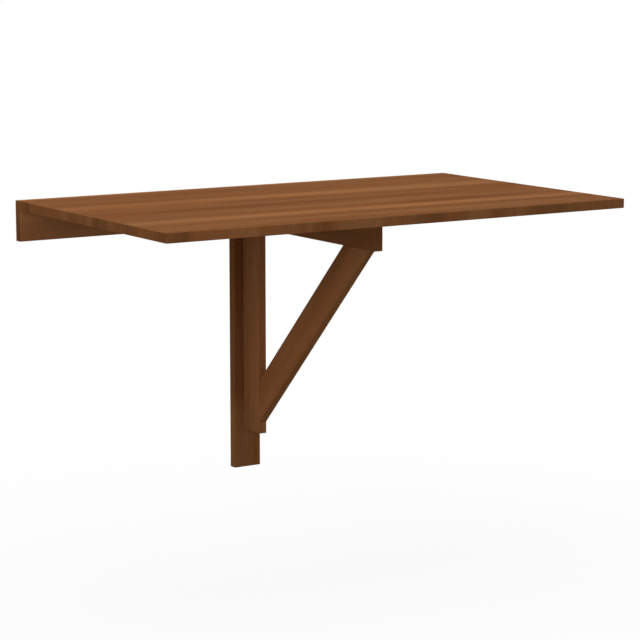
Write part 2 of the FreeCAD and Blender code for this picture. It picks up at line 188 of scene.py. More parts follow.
# How far the floor's middle is in front of the wall.
FLOOR_FORWARD = 0.3
# The floor fades into the backdrop between these two shares of the way from its rim to its middle.
FLOOR_FADE = (0.1, 0.55)
# The top's long streaks: how far each is from the front edge in metres, and its tone.
TOP_STREAKS = (
    (0.000, -0.06),
    (0.045, 0.02),
    (0.092, -0.12),
    (0.130, 0.42),
    (0.180, -0.16),
    (0.230, -0.02),
    (0.290, -0.11),
    (0.365, -0.07),
    (0.405, 0.36),
    (0.455, -0.16),
    (0.495, 0.00),
    (0.535, -0.14),
    (0.575, -0.02),
)
# The materials' noises: blotches per metre on each axis, detail, and roughness. From sway to pores
# X is along the board's grain, and the others are in the table's own axes.
NOISES = {
    "sway": ((1.6, 7, 7), 2.0, 0.5),
    "feather": ((5, 190, 190), 2.0, 0.5),
    "broad": ((1.5, 17, 17), 3.0, 0.5),
    "warmth": ((2.0, 24, 24), 2.0, 0.5),
    "streaks": ((3.0, 130, 130), 3.0, 0.55),
    "fibres": ((16, 760, 760), 2.0, 0.6),
    "ring_places": ((0.8, 11, 11), 1.0, 0.5),
    "pores": ((70, 2100, 2100), 1.0, 0.5),
    "worn_patches": ((9, 9, 9), 3.0, 0.5),
    "top_sway": ((0.9, 2.5, 0), 1.0, 0.5),
    "top_feather": ((4, 160, 0), 3.0, 0.6),
    "top_strength": ((2.2, 9, 0), 1.0, 0.5),
    "band_blocks": ((9, 9, 0.5), 3.0, 0.6),
    "beech_flecks": ((900, 900, 900), 2.0, 0.5),
    "beech_cloud": ((60, 60, 60), 2.0, 0.5),
    "leaf_hinge_brushing": ((60, 2600, 2600), 3.0, 0.6),
    "gate_hinge_brushing": ((2600, 2600, 60), 3.0, 0.6),
    "screw_brushing": ((900, 900, 900), 3.0, 0.6),
    "steel_patches": ((70, 70, 70), 3.0, 0.5),
    "felt_fibres": ((1400, 500, 1400), 4.0, 0.7),
    "felt_clumps": ((260, 260, 260), 3.0, 0.5),
}


# ---------------------------------------------------------------- settings


def colour_setting(name, description, default):
    """A linear colour that a user may change."""
    return FloatVectorProperty(
        name=name, description=description, default=default, subtype="COLOR", size=3, min=0, max=1
    )


def length_setting(name, description, default):
    """A length that a user may change."""
    return FloatProperty(
        name=name, description=description, default=default, unit="LENGTH", min=0
    )


def factor_setting(name, description, default):
    """A share from 0 to 1 that a user may change."""
    return FloatProperty(
        name=name, description=description, default=default, subtype="FACTOR", min=0, max=1
    )


class TableWoodSettings(bpy.types.PropertyGroup):
    """The oiled walnut of the boards."""

    pale: colour_setting("Pale wood", "The lightest fibres", (0.374, 0.166, 0.066))
    middle: colour_setting("Middle wood", "The wood's main colour", (0.242, 0.101, 0.037))
    deep: colour_setting("Deep wood", "The darkest fibres", (0.115, 0.040, 0.015))
    pore: colour_setting("Pores", "The open pores' colour", (0.060, 0.021, 0.009))
    warm: colour_setting("Warm wood", "What the redder areas are multiplied by", (1.0, 0.86, 0.76))
    ring_pitch: length_setting("Ring pitch", "The width of a growth ring", 0.011)
    edge_wear: length_setting("Edge wear", "How far wear reaches from an edge", 0.0025)
    roughness: factor_setting("Roughness", "The oiled surface's roughness", 0.60)
    gloss: factor_setting("Gloss", "How much light the oiled surface mirrors", 0.001)
    blotches: FloatProperty(
        name="Blotches",
        description="How strongly broad light and dark areas show",
        default=1.3,
        min=0,
    )
    figure: factor_setting("Figure", "How strongly the growth rings show", 0.20)
    grain: factor_setting("Grain", "How strongly the streaks show", 0.30)
    fibres: factor_setting("Fibres", "How strongly the fine fibres show", 0.34)


class TableDowelSettings(bpy.types.PropertyGroup):
    """The plain beech of the dowels."""

    colour: colour_setting("Beech", "The dowels' colour", (0.48, 0.29, 0.14))
    fleck: colour_setting("Fleck", "The fine flecks in the beech", (0.30, 0.15, 0.06))


class TableSteelSettings(bpy.types.PropertyGroup):
    """The steel of the hinges and their screws."""

    plate: colour_setting("Plate", "The plates' colour", (0.31, 0.305, 0.29))
    stain: colour_setting("Stain", "The handled steel's dull patches", (0.17, 0.16, 0.145))
    screw: colour_setting("Screw", "The screws' colour", (0.50, 0.47, 0.40))
    roughness: factor_setting("Roughness", "The brushed steel's roughness", 0.34)


class TableFeltSettings(bpy.types.PropertyGroup):
    """The felt pad on the arm."""

    colour: colour_setting("Felt", "The felt's colour", (0.050, 0.028, 0.017))
    fibre: colour_setting("Fibre", "The loose fibres' colour", (0.110, 0.068, 0.042))
    corner: length_setting("Corner", "The pad's corner radius, seen from above", 0.003)
    swell: length_setting("Swell", "How far a point may move as the pad swells", 0.0005)
    pressure: FloatProperty(
        name="Pressure", description="The pressure that swells the pad", default=1.5, min=0
    )
    fuzz: length_setting("Fuzz", "Half the height of the felt's fuzz", 0.00008)


class TableStageSettings(bpy.types.PropertyGroup):
    """The camera, the lamps and the pale floor."""

    camera_place: FloatVectorProperty(
        name="Camera place",
        description="Where the camera stands",
        default=(-2.2934, -3.9114, 0.5193),
        subtype="TRANSLATION",
        unit="LENGTH",
    )
    camera_heading: FloatProperty(
        name="Camera heading",
        description="How far the camera turns from looking into the wall",
        default=math.radians(-32.389),
        subtype="ANGLE",
    )
    camera_drop: FloatProperty(
        name="Camera drop",
        description="How far the camera looks down",
        default=math.radians(9.360),
        subtype="ANGLE",
    )
    camera_lens: FloatProperty(
        name="Lens", description="The camera's focal length", default=126.33, unit="CAMERA"
    )
    floor_level: FloatProperty(
        name="Floor", description="The floor's height", default=-0.702, unit="LENGTH"
    )
    floor_radius: length_setting("Floor radius", "The round floor's radius", 1.6)
    floor_segments: IntProperty(
        name="Floor segments", description="The sides of the round floor", default=96, min=3
    )
    backdrop: colour_setting("Backdrop", "What the camera sees behind", (1.0, 1.0, 1.0))
    ambient: FloatProperty(
        name="Ambient", description="The light from all around", default=0.33, min=0
    )
    top_lamp: FloatProperty(
        name="Top lamp", description="The power of the lamp above", default=46, unit="POWER"
    )
    side_lamp: FloatProperty(
        name="Side lamp", description="The power of the front left lamp", default=22, unit="POWER"
    )
    back_lamp: FloatProperty(
        name="Back lamp", description="The power of the lamp behind", default=16, unit="POWER"
    )
    floor_grey: factor_setting("Floor grey", "How much light the floor throws back up", 0.25)
    floor_white: factor_setting("Floor white", "How far the seen floor is plain white", 0.93)


SETTINGS = {
    "table_wood": TableWoodSettings,
    "table_dowels": TableDowelSettings,
    "table_steel": TableSteelSettings,
    "table_felt": TableFeltSettings,
    "table_stage": TableStageSettings,
}


# ---------------------------------------------------------------- shader nodes

# The surface's sockets that a finish may set to a constant, by the names used here.
SOCKETS = {
    "metallic": "Metallic",
    "specular_ior_level": "Specular IOR Level",
    "sheen_weight": "Sheen Weight",
    "sheen_roughness": "Sheen Roughness",
}


class Finish:
    """A material under construction, with short ways to add and join its nodes."""

    def __init__(self, name):
        self.material = bpy.data.materials.new(name)
        self.material.use_nodes = True
        self.tree = self.material.node_tree
        self.tree.nodes.clear()
        output = self.tree.nodes.new("ShaderNodeOutputMaterial")
        self.surface = self.tree.nodes.new("ShaderNodeBsdfPrincipled")
        self.tree.links.new(self.surface.outputs["BSDF"], output.inputs["Surface"])
        self.place = self.add("ShaderNodeTexCoord").outputs["Object"]

    def feed(self, socket, value):
        """Give a socket a link or a constant."""
        if isinstance(value, bpy.types.NodeSocket):
            self.tree.links.new(value, socket)
        elif isinstance(value, (int, float)):
            socket.default_value = value
        else:
            alpha = [1.0] if socket.type == "RGBA" and len(value) == 3 else []
            socket.default_value = [*value, *alpha]

    def add(self, kind, settings=None, **inputs):
        """A new node. Inputs are named as its sockets, in lower case with underscores."""
        node = self.tree.nodes.new(kind)
        for name, value in (settings or {}).items():
            setattr(node, name, value)
        sockets = {s.name.lower().replace(" ", "_"): s for s in node.inputs if s.enabled}
        for name, value in inputs.items():
            self.feed(sockets[name], value)
        return node

    def math(self, operation, *values):
        """One step of arithmetic on numbers."""
        node = self.add("ShaderNodeMath", {"operation": operation})
        for socket, value in zip(node.inputs, values):
            self.feed(socket, value)
        return node.outputs["Value"]

    def vector_math(self, operation, *values):
        """One step of arithmetic on vectors."""
        node = self.add("ShaderNodeVectorMath", {"operation": operation})
        for socket, value in zip(node.inputs, values):
            self.feed(socket, value)
        return node.outputs["Vector"]

    def split(self, vector):
        """A vector's three coordinates."""
        return self.add("ShaderNodeSeparateXYZ", vector=vector).outputs[:3]

    def turned(self, vector, turn=(0, 0, 0), shift=(0, 0, 0), scale=(1, 1, 1)):
        """A vector scaled, then turned, then moved."""
        node = self.add(
            "ShaderNodeMapping", vector=vector, location=shift, rotation=turn, scale=scale
        )
        return node.outputs["Vector"]

    def noise(self, vector, name):
        """A soft random value about 0.5. name is a key of NOISES."""
        scale, detail, roughness = NOISES[name]
        node = self.add(
            "ShaderNodeTexNoise",
            vector=self.turned(vector, scale=scale),
            scale=1.0,
            detail=detail,
            roughness=roughness,
        )
        return node.outputs["Fac"]

    def about_zero(self, value, reach):
        """A value from 0 to 1 turned into one that goes reach / 2 either side of nothing."""
        return self.math("MULTIPLY", self.math("SUBTRACT", value, 0.5), reach)

    def shifted(self, vector, across):
        """A vector moved along its Y."""
        move = self.add("ShaderNodeCombineXYZ", y=across).outputs["Vector"]
        return self.vector_math("ADD", vector, move)

    def choose(self, switch, first, second):
        """The first vector where switch is 0 and the second where it is 1."""
        node = self.add("ShaderNodeMix", {"data_type": "VECTOR"}, factor=switch)
        # The node has sockets of the same names for each type, so they are taken by number.
        self.feed(node.inputs[4], first)
        self.feed(node.inputs[5], second)
        return node.outputs[1]

    def blend(self, share, first, second, mode="MIX"):
        """Two colours mixed."""
        node = self.add("ShaderNodeMix", {"data_type": "RGBA", "blend_type": mode})
        self.feed(node.inputs[0], share)
        self.feed(node.inputs[6], first)
        self.feed(node.inputs[7], second)
        return node.outputs[2]

    def mixed(self, share, first, second):
        """Two shaders mixed."""
        node = self.add("ShaderNodeMixShader")
        for socket, value in zip(node.inputs, (share, first, second)):
            self.feed(socket, value)
        return node.outputs["Shader"]

    def spread(self, value, low, high, new_low=0.0, new_high=1.0):
        """A value's range stretched to a new one, and held inside it."""
        node = self.add("ShaderNodeMapRange", value=value, from_min=low, from_max=high)
        self.feed(node.inputs["To Min"], new_low)
        self.feed(node.inputs["To Max"], new_high)
        return node.outputs["Result"]

    def ramp(self, value, stops, interpolation="LINEAR"):
        """A colour ramp. stops lists (position, colour or grey)."""
        node = self.add("ShaderNodeValToRGB", fac=value)
        ramp = node.color_ramp
        ramp.interpolation = interpolation
        while len(ramp.elements) < len(stops):
            ramp.elements.new(1.0)
        for element, (position, colour) in zip(ramp.elements, stops):
            element.position = position
            grey = isinstance(colour, (int, float))
            element.color = [colour] * 3 + [1] if grey else [*colour, 1]
        return node.outputs["Color"]

    def bump(self, height, distance):
        """Relief of a given depth in metres."""
        node = self.add("ShaderNodeBump", height=height, distance=distance, strength=1.0)
        self.feed(self.surface.inputs["Normal"], node.outputs["Normal"])

    def finish(self, colour, roughness, **constants):
        """Set the surface's colour, roughness and constant sockets, and return the material."""
        self.feed(self.surface.inputs["Base Color"], colour)
        self.feed(self.surface.inputs["Roughness"], roughness)
        for name, value in constants.items():
            self.feed(self.surface.inputs[SOCKETS[name]], value)
        return self.material


def dress(node_name, material):
    """Give a construction piece its finish."""
    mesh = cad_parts[node_name].data
    mesh.materials.clear()
    mesh.materials.append(material)


# ---------------------------------------------------------------- wood


def wear(finish, node_name, reach):
    """How worn a place is, from 0 to 1 at the board's edges.

    On a face one of the distances to the board's sides is nothing, so the middle one of the
    three distances is how far the nearest edge is. Slow noise breaks the wear up. The sloping
    brace doesn't fill its box, so it is worn only near its ends.
    """
    low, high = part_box(node_name)
    gaps = []
    for axis, start, end in zip(finish.split(finish.place), low, high):
        to_low = finish.math("SUBTRACT", axis, start)
        to_high = finish.math("SUBTRACT", end, axis)
        gaps.append(finish.math("MINIMUM", to_low, to_high))
    smaller = finish.math("MINIMUM", gaps[0], gaps[1])
    larger = finish.math("MAXIMUM", gaps[0], gaps[1])
    middle = finish.math("MAXIMUM", smaller, finish.math("MINIMUM", larger, gaps[2]))
    near = finish.spread(middle, 0.0, reach, 1.0, 0.0)
    patches = finish.spread(finish.noise(finish.place, "worn_patches"), 0.40, 0.66)
    return finish.math("MULTIPLY", near, patches)


def walnut(node_name, grain_place, look, seed=0):
    """Oiled walnut.

    grain_place gives the place with X along the grain. look gives how much lighter than usual it
    is there, how strongly its rings and streaks show, and how much redder than usual it is.
    Growth rings are circles round a pith beside the board, and the blotches, streaks, fibres and
    pores are noise drawn out along the grain. seed gives each board a figure of its own.
    """
    wood = bpy.context.scene.table_wood
    blotches = wood.blotches * BLOTCH_SHARES.get(node_name, 1.0)
    finish = Finish(f"{node_name}_walnut")
    place = finish.vector_math("ADD", grain_place(finish), [seed * step for step in SEED_STEP])
    sway = finish.about_zero(finish.noise(place, "sway"), SWAY_WIDTH)
    feather = finish.about_zero(finish.noise(place, "feather"), FEATHER_WIDTH)
    swayed = finish.shifted(place, sway)
    frayed = finish.shifted(swayed, feather)

    broad = finish.noise(frayed, "broad")
    warmth = finish.noise(finish.turned(frayed, shift=WARMTH_SHIFT), "warmth")
    streaks = finish.noise(swayed, "streaks")
    fibres = finish.noise(swayed, "fibres")
    rings = finish.add(
        "ShaderNodeTexWave",
        {"wave_type": "RINGS", "rings_direction": "X", "wave_profile": "SAW"},
        vector=finish.turned(swayed, RING_TURN, RING_SHIFT, RING_SCALE),
        scale=WAVE_PERIOD / wood.ring_pitch,
        distortion=6.5,
        detail=2.0,
        detail_scale=1.3,
        detail_roughness=0.6,
    ).outputs["Fac"]
    late_wood = finish.spread(rings, 0.45, 1.0, 0.0, -1.0)
    shown = finish.spread(finish.noise(swayed, "ring_places"), 0.40, 0.62)
    late_wood = finish.math("MULTIPLY", late_wood, finish.math("MULTIPLY", shown, wood.figure))
    lines = finish.math("ADD", late_wood, finish.about_zero(streaks, wood.grain))
    pores = finish.spread(finish.noise(swayed, "pores"), 0.60, 0.70)

    tone, figure, redder = look(finish)
    shade = finish.math("ADD", tone, 0.5)
    for part in (
        finish.math("MULTIPLY", lines, figure),
        finish.about_zero(broad, blotches),
        finish.about_zero(fibres, wood.fibres),
    ):
        shade = finish.math("ADD", shade, part)
    colour = finish.ramp(shade, [(0.0, wood.deep), (0.5, wood.middle), (1.0, wood.pale)])
    redness = finish.spread(warmth, 0.40, 0.64, redder, redder + REDNESS_REACH)
    colour = finish.blend(redness, colour, wood.warm, "MULTIPLY")
    colour = finish.blend(finish.math("MULTIPLY", pores, PORE_SHARE), colour, wood.pore)
    worn = wear(finish, node_name, wood.edge_wear)
    colour = finish.blend(finish.math("MULTIPLY", worn, WEAR_SHARE), colour, wood.pale)

    rougher = wood.roughness + STREAK_ROUGHNESS
    smoother = wood.roughness - STREAK_ROUGHNESS
    rough = finish.spread(streaks, 0.3, 0.7, rougher, smoother)
    rough = finish.math("ADD", rough, finish.math("MULTIPLY", pores, PORE_ROUGHNESS))
    height = finish.math("SUBTRACT", finish.math("MULTIPLY", fibres, FIBRE_SHARE), pores)
    finish.bump(height, PORE_DEPTH)
    dress(node_name, finish.finish(colour, rough, specular_ior_level=wood.gloss))


def single_grain(node_name):
    """The grain runs one way through the whole board."""
    return lambda finish: finish.turned(finish.place, GRAIN_TURNS[node_name])


def on_end(finish, node_name, axis):
    """1 on the two faces at the board's ends along an axis, and 0 elsewhere."""
    low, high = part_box(node_name)
    along = finish.split(finish.place)[axis]
    from_middle = finish.math("ABSOLUTE", finish.math("SUBTRACT", along, (low[axis] + high[axis]) / 2))
    return finish.math("GREATER_THAN", from_middle, (high[axis] - low[axis]) / 2 - END_REACH)


def banded_grain(node_name):
    """The broad faces have long grain, and the narrow front, back and end faces an upright band."""

    def places(finish):
        face = finish.turned(finish.place, GRAIN_TURNS[node_name])
        front = finish.turned(finish.place, FRONT_BAND_TURN)
        end = finish.turned(finish.place, END_BAND_TURN)
        face = finish.choose(on_end(finish, node_name, 1), face, front)
        return finish.choose(on_end(finish, node_name, 0), face, end)

    return places


def board_look(node_name):
    """One tone for the board's faces and another for its end grain, and a paler foot on the post.

    The faces' tone is partly painted light, and the post's paler foot is painted light.
    """

    def look(finish):
        # The faces' tone is partly painted light, standing in for how much light falls on the board.
        tone = BOARD_TONES_AND_PAINTED_LIGHT[node_name]
        if node_name in END_TONES:
            axis, end_tone = END_TONES[node_name]
            at_end = on_end(finish, node_name, axis)
            change = finish.math("MULTIPLY", at_end, end_tone - tone)
            tone = finish.math("ADD", change, tone)
        # Painted light: the post's foot is made paler towards its bottom, where less shade falls.
        if node_name == "wall_post":
            height = finish.split(finish.place)[2]
            painted_foot_light = finish.spread(height, FOOT_LOWER, FOOT_UPPER, FOOT_PAINTED_LIGHT, 0.0)
            tone = finish.math("ADD", tone, painted_foot_light)
        return tone, BOARD_FIGURE, BOARD_REDNESS

    return look


def top_streaks(finish):
    """The top's long streaks. They sway a little, and come and go along the top."""
    low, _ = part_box("table_leaf")
    _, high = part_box("hinge_strip")
    depth = high.y - low.y
    sway = finish.about_zero(finish.noise(finish.place, "top_sway"), TOP_SWAY_WIDTH)
    feather = finish.about_zero(finish.noise(finish.place, "top_feather"), TOP_FEATHER_WIDTH)
    across = finish.math("ADD", finish.split(finish.place)[1], finish.math("ADD", sway, feather))
    share = finish.spread(across, low.y, high.y)
    stops = [(place / depth, 0.5 + tone) for place, tone in TOP_STREAKS]
    streak = finish.math("SUBTRACT", finish.ramp(share, stops, "EASE"), 0.5)
    strength = finish.spread(finish.noise(finish.place, "top_strength"), 0.3, 0.7, FAINTEST_STREAK, 1.0)
    return finish.math("MULTIPLY", streak, strength)


def top_look(node_name):
    """Streaks on the broad faces, and calmer wood in light and dark blocks on the edge bands."""

    def look(finish):
        band = finish.math("MAXIMUM", on_end(finish, node_name, 0), on_end(finish, node_name, 1))
        blocks = finish.about_zero(finish.noise(finish.place, "band_blocks"), BLOCK_REACH)
        broad = finish.math("MULTIPLY", top_streaks(finish), finish.math("SUBTRACT", 1.0, band))
        tone = finish.math("ADD", broad, finish.math("MULTIPLY", blocks, band))
        return tone, finish.spread(band, 0.0, 1.0, TOP_FIGURE, BAND_FIGURE), 0.0

    return look


class TABLE_OT_top(bpy.types.Operator):
    """Finish the leaf and the strip behind it in walnut, with upright bands at the edges"""

    bl_idname = "table.top"
    bl_label = "Table top"

    def execute(self, context):
        for node_name in ("table_leaf", "hinge_strip"):
            walnut(node_name, banded_grain(node_name), top_look(node_name))
        return {"FINISHED"}


class TABLE_OT_wall_boards(bpy.types.Operator):
    """Finish the wall rail and the post in walnut"""

    bl_idname = "table.wall_boards"
    bl_label = "Wall boards"

    def execute(self, context):
        for node_name, seed in (("wall_rail", 3), ("wall_post", 5)):
            walnut(node_name, single_grain(node_name), board_look(node_name), seed)
        return {"FINISHED"}


class TABLE_OT_bracket(bpy.types.Operator):
    """Finish the three boards of the gate bracket in walnut"""

    bl_idname = "table.bracket"
    bl_label = "Gate bracket"

    def execute(self, context):
        for node_name, seed in (
            ("bracket_upright", 8),
            ("bracket_arm", 11),
            ("bracket_brace", 14),
        ):
            walnut(node_name, single_grain(node_name), board_look(node_name), seed)
        return {"FINISHED"}


# ---------------------------------------------------------------- dowels and steel


class TABLE_OT_dowels(bpy.types.Operator):
    """Finish the dowels in plain beech"""

    bl_idname = "table.dowels"
    bl_label = "Dowels"

    def execute(self, context):
        wood = context.scene.table_dowels
        finish = Finish("beech_dowel")
        flecks = finish.spread(finish.noise(finish.place, "beech_flecks"), 0.52, 0.70)
        cloud = finish.noise(finish.place, "beech_cloud")
        colour = finish.blend(finish.math("MULTIPLY", flecks, FLECK_SHARE), wood.colour, wood.fleck)
        colour = finish.blend(finish.math("MULTIPLY", cloud, CLOUD_SHARE), colour, wood.fleck)
        finish.bump(flecks, DOWEL_RELIEF)
        material = finish.finish(colour, DOWEL_ROUGHNESS)
        for node_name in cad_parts:
            if node_name.endswith("_dowels"):
                dress(node_name, material)
        return {"FINISHED"}


def brushed_steel(name, colour, brushing):
    """Brushed steel. brushing names the noise that its fine lines follow."""
    steel = bpy.context.scene.table_steel
    finish = Finish(name)
    lines = finish.noise(finish.place, brushing)
    patches = finish.noise(finish.place, "steel_patches")
    dull = finish.spread(patches, 0.45, 0.75)
    colour = finish.blend(finish.math("MULTIPLY", dull, STAIN_SHARE), colour, steel.stain)
    colour = finish.blend(finish.spread(lines, 0.35, 0.65, 0.0, LINE_SHARE), colour, steel.stain)
    smoother = steel.roughness - SMOOTHER_LINES
    rougher = steel.roughness + ROUGHER_LINES
    rough = finish.spread(lines, 0.3, 0.7, smoother, rougher)
    finish.bump(lines, STEEL_RELIEF)
    return finish.finish(colour, rough, metallic=1.0)


class TABLE_OT_hinges(bpy.types.Operator):
    """Finish the hinge plates and pins in brushed steel"""

    bl_idname = "table.hinges"
    bl_label = "Hinges"

    def execute(self, context):
        steel = context.scene.table_steel
        along_wall = brushed_steel("leaf_hinge_steel", steel.plate, "leaf_hinge_brushing")
        upright = brushed_steel("gate_hinge_steel", steel.plate, "gate_hinge_brushing")
        for node_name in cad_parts:
            if node_name.endswith(("_plate", "_pin")):
                dress(node_name, along_wall if node_name.startswith("leaf") else upright)
        return {"FINISHED"}


class TABLE_OT_screws(bpy.types.Operator):
    """Finish the hinge screws in zinc plated steel"""

    bl_idname = "table.screws"
    bl_label = "Screws"

    def execute(self, context):
        material = brushed_steel("screw_zinc", context.scene.table_steel.screw, "screw_brushing")
        for node_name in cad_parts:
            if node_name.endswith("_screws"):
                dress(node_name, material)
        return {"FINISHED"}


# ---------------------------------------------------------------- felt


def grid_mesh(name, points):
    """A mesh of quads over a grid of points, closed round its second direction.

    points has the shape (rings, spokes, 3). Its first and last rings are closed with one face.
    """
    rings, spokes, _ = points.shape
    index = np.arange(rings * spokes).reshape(rings, spokes)
    after = np.roll(index, -1, axis=1)
    quads = np.stack([index[:-1], after[:-1], after[1:], index[1:]], axis=-1).reshape(-1, 4)
    faces = [*quads.tolist(), index[0, ::-1].tolist(), index[-1].tolist()]
    mesh = bpy.data.meshes.new(name)
    mesh.from_pydata(points.reshape(-1, 3).tolist(), [], faces)
    mesh.update()
    return mesh


class TABLE_OT_felt_pad(bpy.types.Operator):
    """Lay a felt pad on the arm, swollen as cloth swells"""

    bl_idname = "table.felt_pad"
    bl_label = "Felt pad"

    def execute(self, context):
        felt = context.scene.table_felt
        low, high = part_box("arm_pad")
        points = felt_points(low, high, felt)
        pad = bpy.data.objects.new("felt_pad", grid_mesh("felt_pad", points))
        context.scene.collection.objects.link(pad)
        swell(context, pad, felt, low, high)
        pad.data.materials.append(felt_finish(felt))
        pad.data.shade_smooth()
        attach(pad, "bracket")
        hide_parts("arm_pad")
        return {"FINISHED"}


def felt_points(low, high, felt):
    """The pad before it swells, as rings from the middle of its underside to that of its top.

    It is smaller than its box by the swell, except below, where it is glued down. The outline is a
    rectangle with round corners: each spoke starts at the centre of the corner that it points to
    and is as long as the corner radius, so the straight sides lie between one corner's last spoke
    and the next one's first. The rings shrink towards the middle at both faces, and the side is
    upright with a round edge above and below.
    """
    half = np.array([(high.x - low.x) / 2, (high.y - low.y) / 2]) - felt.swell
    centre = np.array([(high.x + low.x) / 2, (high.y + low.y) / 2])
    angle = (np.arange(FELT_SPOKES) + 0.5) * 2 * np.pi / FELT_SPOKES
    spokes = np.stack([np.cos(angle), np.sin(angle)], axis=-1)
    rim = np.sign(spokes) * (half - felt.corner) + spokes * felt.corner

    faces = np.linspace(FELT_CENTRE, FELT_FACE, FELT_RINGS)
    bend = np.linspace(0, QUARTER, FELT_EDGE_RINGS + 2)[1:-1]
    outward = FELT_FACE + (1 - FELT_FACE) * np.sin(bend)
    share = np.concatenate([faces, outward, [1.0, 1.0], outward[::-1], faces[::-1]])
    rise = FELT_EDGE * (1 - np.cos(bend))
    sides = [FELT_EDGE, 1 - FELT_EDGE]
    level = [np.zeros(FELT_RINGS), rise, sides, 1 - rise[::-1], np.ones(FELT_RINGS)]
    level = np.concatenate(level)
    flat = centre + share[:, None, None] * rim[None]
    height = low.z + (high.z - low.z - felt.swell) * level
    height = np.repeat(height[:, None], FELT_SPOKES, axis=1)
    return np.concatenate([flat, height[..., None]], axis=-1)


def mesh_points(mesh):
    """A mesh's points as an array."""
    points = np.empty(len(mesh.vertices) * 3)
    mesh.vertices.foreach_get("co", points)
    return points.reshape(-1, 3)


def set_mesh_points(mesh, points):
    """Move a mesh's points to new places."""
    mesh.vertices.foreach_set("co", points.ravel())
    mesh.update()


def apply_modifiers(context, piece):
    """Replace a piece's mesh by what its modifiers make of it, and take them off."""
    finished = piece.evaluated_get(context.evaluated_depsgraph_get())
    mesh = bpy.data.meshes.new_from_object(finished)
    piece.modifiers.clear()
    piece.data = mesh
    context.view_layer.update()


def run_cloth(context, pad, start, pressure):
    """Swell the enlarged pad as cloth under pressure, with its underside held where it is."""
    glued = pad.vertex_groups.new(name="glued")
    underside = np.flatnonzero(start[:, 2] < start[:, 2].min() + FELT_VOXEL / 2)
    glued.add(underside.tolist(), 1.0, "REPLACE")
    cloth = pad.modifiers.new("cloth", "CLOTH").settings
    cloth.use_pressure = True
    cloth.uniform_pressure_force = pressure
    cloth.vertex_group_mass = glued.name
    cloth.effector_weights.gravity = 0
    for frame_number in range(1, FELT_FRAMES + 1):
        context.scene.frame_set(frame_number)
    apply_modifiers(context, pad)
    context.scene.frame_set(1)
    pad.vertex_groups.clear()


def fuzz_height(points):
    """The felt's fuzz at each point, from -1 to 1.

    It is a sine along X times a sine along Y, in radians per millimetre. Each is bent by a sine
    of the other direction, so that they don't repeat together.
    """
    x, y = points[:, 0] * 1000, points[:, 1] * 1000
    along_x = np.sin(5.1 * x + 2.3 * np.sin(1.7 * y))
    along_y = np.sin(4.3 * y + 1.9 * np.sin(2.1 * x))
    return along_x * along_y


def swell(context, pad, felt, low, high):
    """Let the pad swell as filled cloth does, held down at its glued underside.

    The pad is first enlarged to a cushion's size, because Blender's cloth is made for such sizes,
    and it is brought back after. How far a point moves is capped, nothing passes the box, and the
    fuzz is taken off the height of the pad's upper half.
    """
    low, high = np.array(low), np.array(high)
    middle = (low + high) / 2
    set_mesh_points(pad.data, (mesh_points(pad.data) - middle) * FELT_ENLARGED)
    remesh = pad.modifiers.new("remesh", "REMESH")
    remesh.mode = "VOXEL"
    remesh.voxel_size = FELT_VOXEL
    apply_modifiers(context, pad)

    start = mesh_points(pad.data)
    run_cloth(context, pad, start, felt.pressure)
    moved = (mesh_points(pad.data) - start) / FELT_ENLARGED
    reach = np.linalg.norm(moved, axis=1, keepdims=True)
    moved *= np.minimum(1, felt.swell / np.maximum(reach, 1e-9))
    points = np.clip(start / FELT_ENLARGED + middle + moved, low, high)
    upper = points[:, 2] > middle[2]
    points[upper, 2] += felt.fuzz * (fuzz_height(points[upper]) - 1)
    set_mesh_points(pad.data, points)
    smooth = pad.modifiers.new("smooth", "SUBSURF")
    smooth.levels = smooth.render_levels = 1


def felt_finish(felt):
    """Pressed felt: fine fibres and larger clumps, rough and with a soft sheen."""
    finish = Finish("pressed_felt")
    fibres = finish.noise(finish.place, "felt_fibres")
    clumps = finish.noise(finish.place, "felt_clumps")
    fine = finish.spread(fibres, 0.4, 0.7, 0, FELT_FINE_SHARE)
    share = finish.math("ADD", fine, finish.spread(clumps, 0.4, 0.7, 0, FELT_CLUMP_SHARE))
    colour = finish.blend(share, felt.colour, felt.fibre)
    finish.bump(fibres, FELT_RELIEF)
    return finish.finish(colour, FELT_ROUGHNESS, sheen_weight=0.4, sheen_roughness=0.5)


# ---------------------------------------------------------------- stage


def lamp(name, power, width, place):
    """A square soft lamp that points at LAMP_AIM."""
    light = bpy.data.lights.new(name, "AREA")
    light.energy = power
    light.size = width
    obj = bpy.data.objects.new(name, light)
    obj.location = place
    way = np.array(LAMP_AIM) - np.array(place)
    flat = math.hypot(way[0], way[1])
    obj.rotation_euler = (math.atan2(flat, -way[2]), 0, math.atan2(-way[0], way[1]))
    bpy.context.scene.collection.objects.link(obj)


